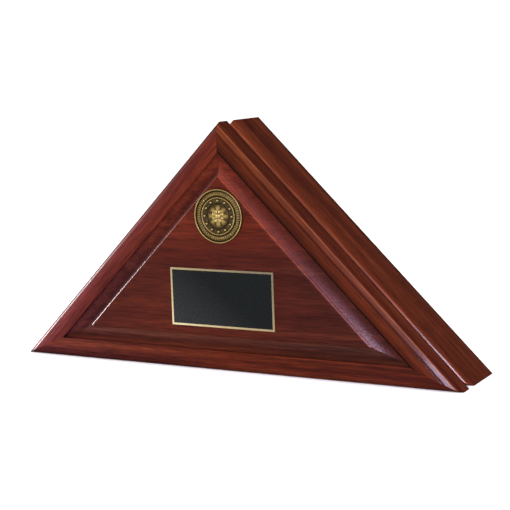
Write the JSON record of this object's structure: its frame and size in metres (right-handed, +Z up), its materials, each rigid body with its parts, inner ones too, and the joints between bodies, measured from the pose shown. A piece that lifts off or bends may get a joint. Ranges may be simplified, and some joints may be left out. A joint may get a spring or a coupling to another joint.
{
  "type": "folded flag display case",
  "caption": "Triangular wooden case for a folded flag, with a moulded frame, raised front panel, round relief, blank nameplate and a hinged rear door.",
  "frame": {"origin": "middle of the underside the case stands on, half way through the depth of the wooden case", "axes": "+X to the right along the base seen from the front, +Y from the front panel to the rear door, +Z up"},
  "size_m": [0.6478, 0.1241, 0.3239],
  "materials": {
    "frame_wood": "gloss lacquer",
    "panel_wood": "gloss lacquer",
    "case_wood": "gloss lacquer",
    "door_wood": "satin lacquer",
    "hidden_wood": "raw",
    "antique_brass": "antiqued",
    "plate_brass": "polished",
    "plate_black": "satin",
    "adhesive": "matte",
    "hinge_brass": "satin",
    "screw_brass": "satin",
    "steel": "satin"
  },
  "bodies": {
    "case": {"front_bottom_rail": "frame_wood", "front_left_rail": "frame_wood", "front_right_rail": "frame_wood", "case_base": "case_wood", "case_left_side": "case_wood", "case_right_side": "case_wood", "raised_panel": "panel_wood", "front_mitre_splines": "hidden_wood", "case_mitre_splines": "hidden_wood", "joining_dowels": "hidden_wood", "rear_corner_filler_left": "case_wood", "rear_corner_filler_right": "case_wood", "apex_block": "case_wood", "medallion": "antique_brass", "medallion_posts": "antique_brass", "nameplate_border": "plate_brass", "nameplate_face": "plate_black", "nameplate_adhesive": "adhesive", "hinge_case_leaf_left": "hinge_brass", "hinge_pin_left": "steel", "hinge_case_leaf_right": "hinge_brass", "hinge_pin_right": "steel", "hinge_case_screws": "screw_brass", "catch_magnet": "steel"},
    "rear_door": {"rear_door": "door_wood", "hinge_door_leaf_left": "hinge_brass", "hinge_door_leaf_right": "hinge_brass", "hinge_door_screws": "screw_brass", "catch_strike": "steel", "strike_screw": "steel"}
  },
  "joints": [
    {"name": "rear_door_hinge", "type": "hinge", "parent": "case", "child": "rear_door", "pos_m": [0, 0.05985, 0.0112], "axis": [-1, 0, 0], "range_deg": [0, 90]}
  ]
}
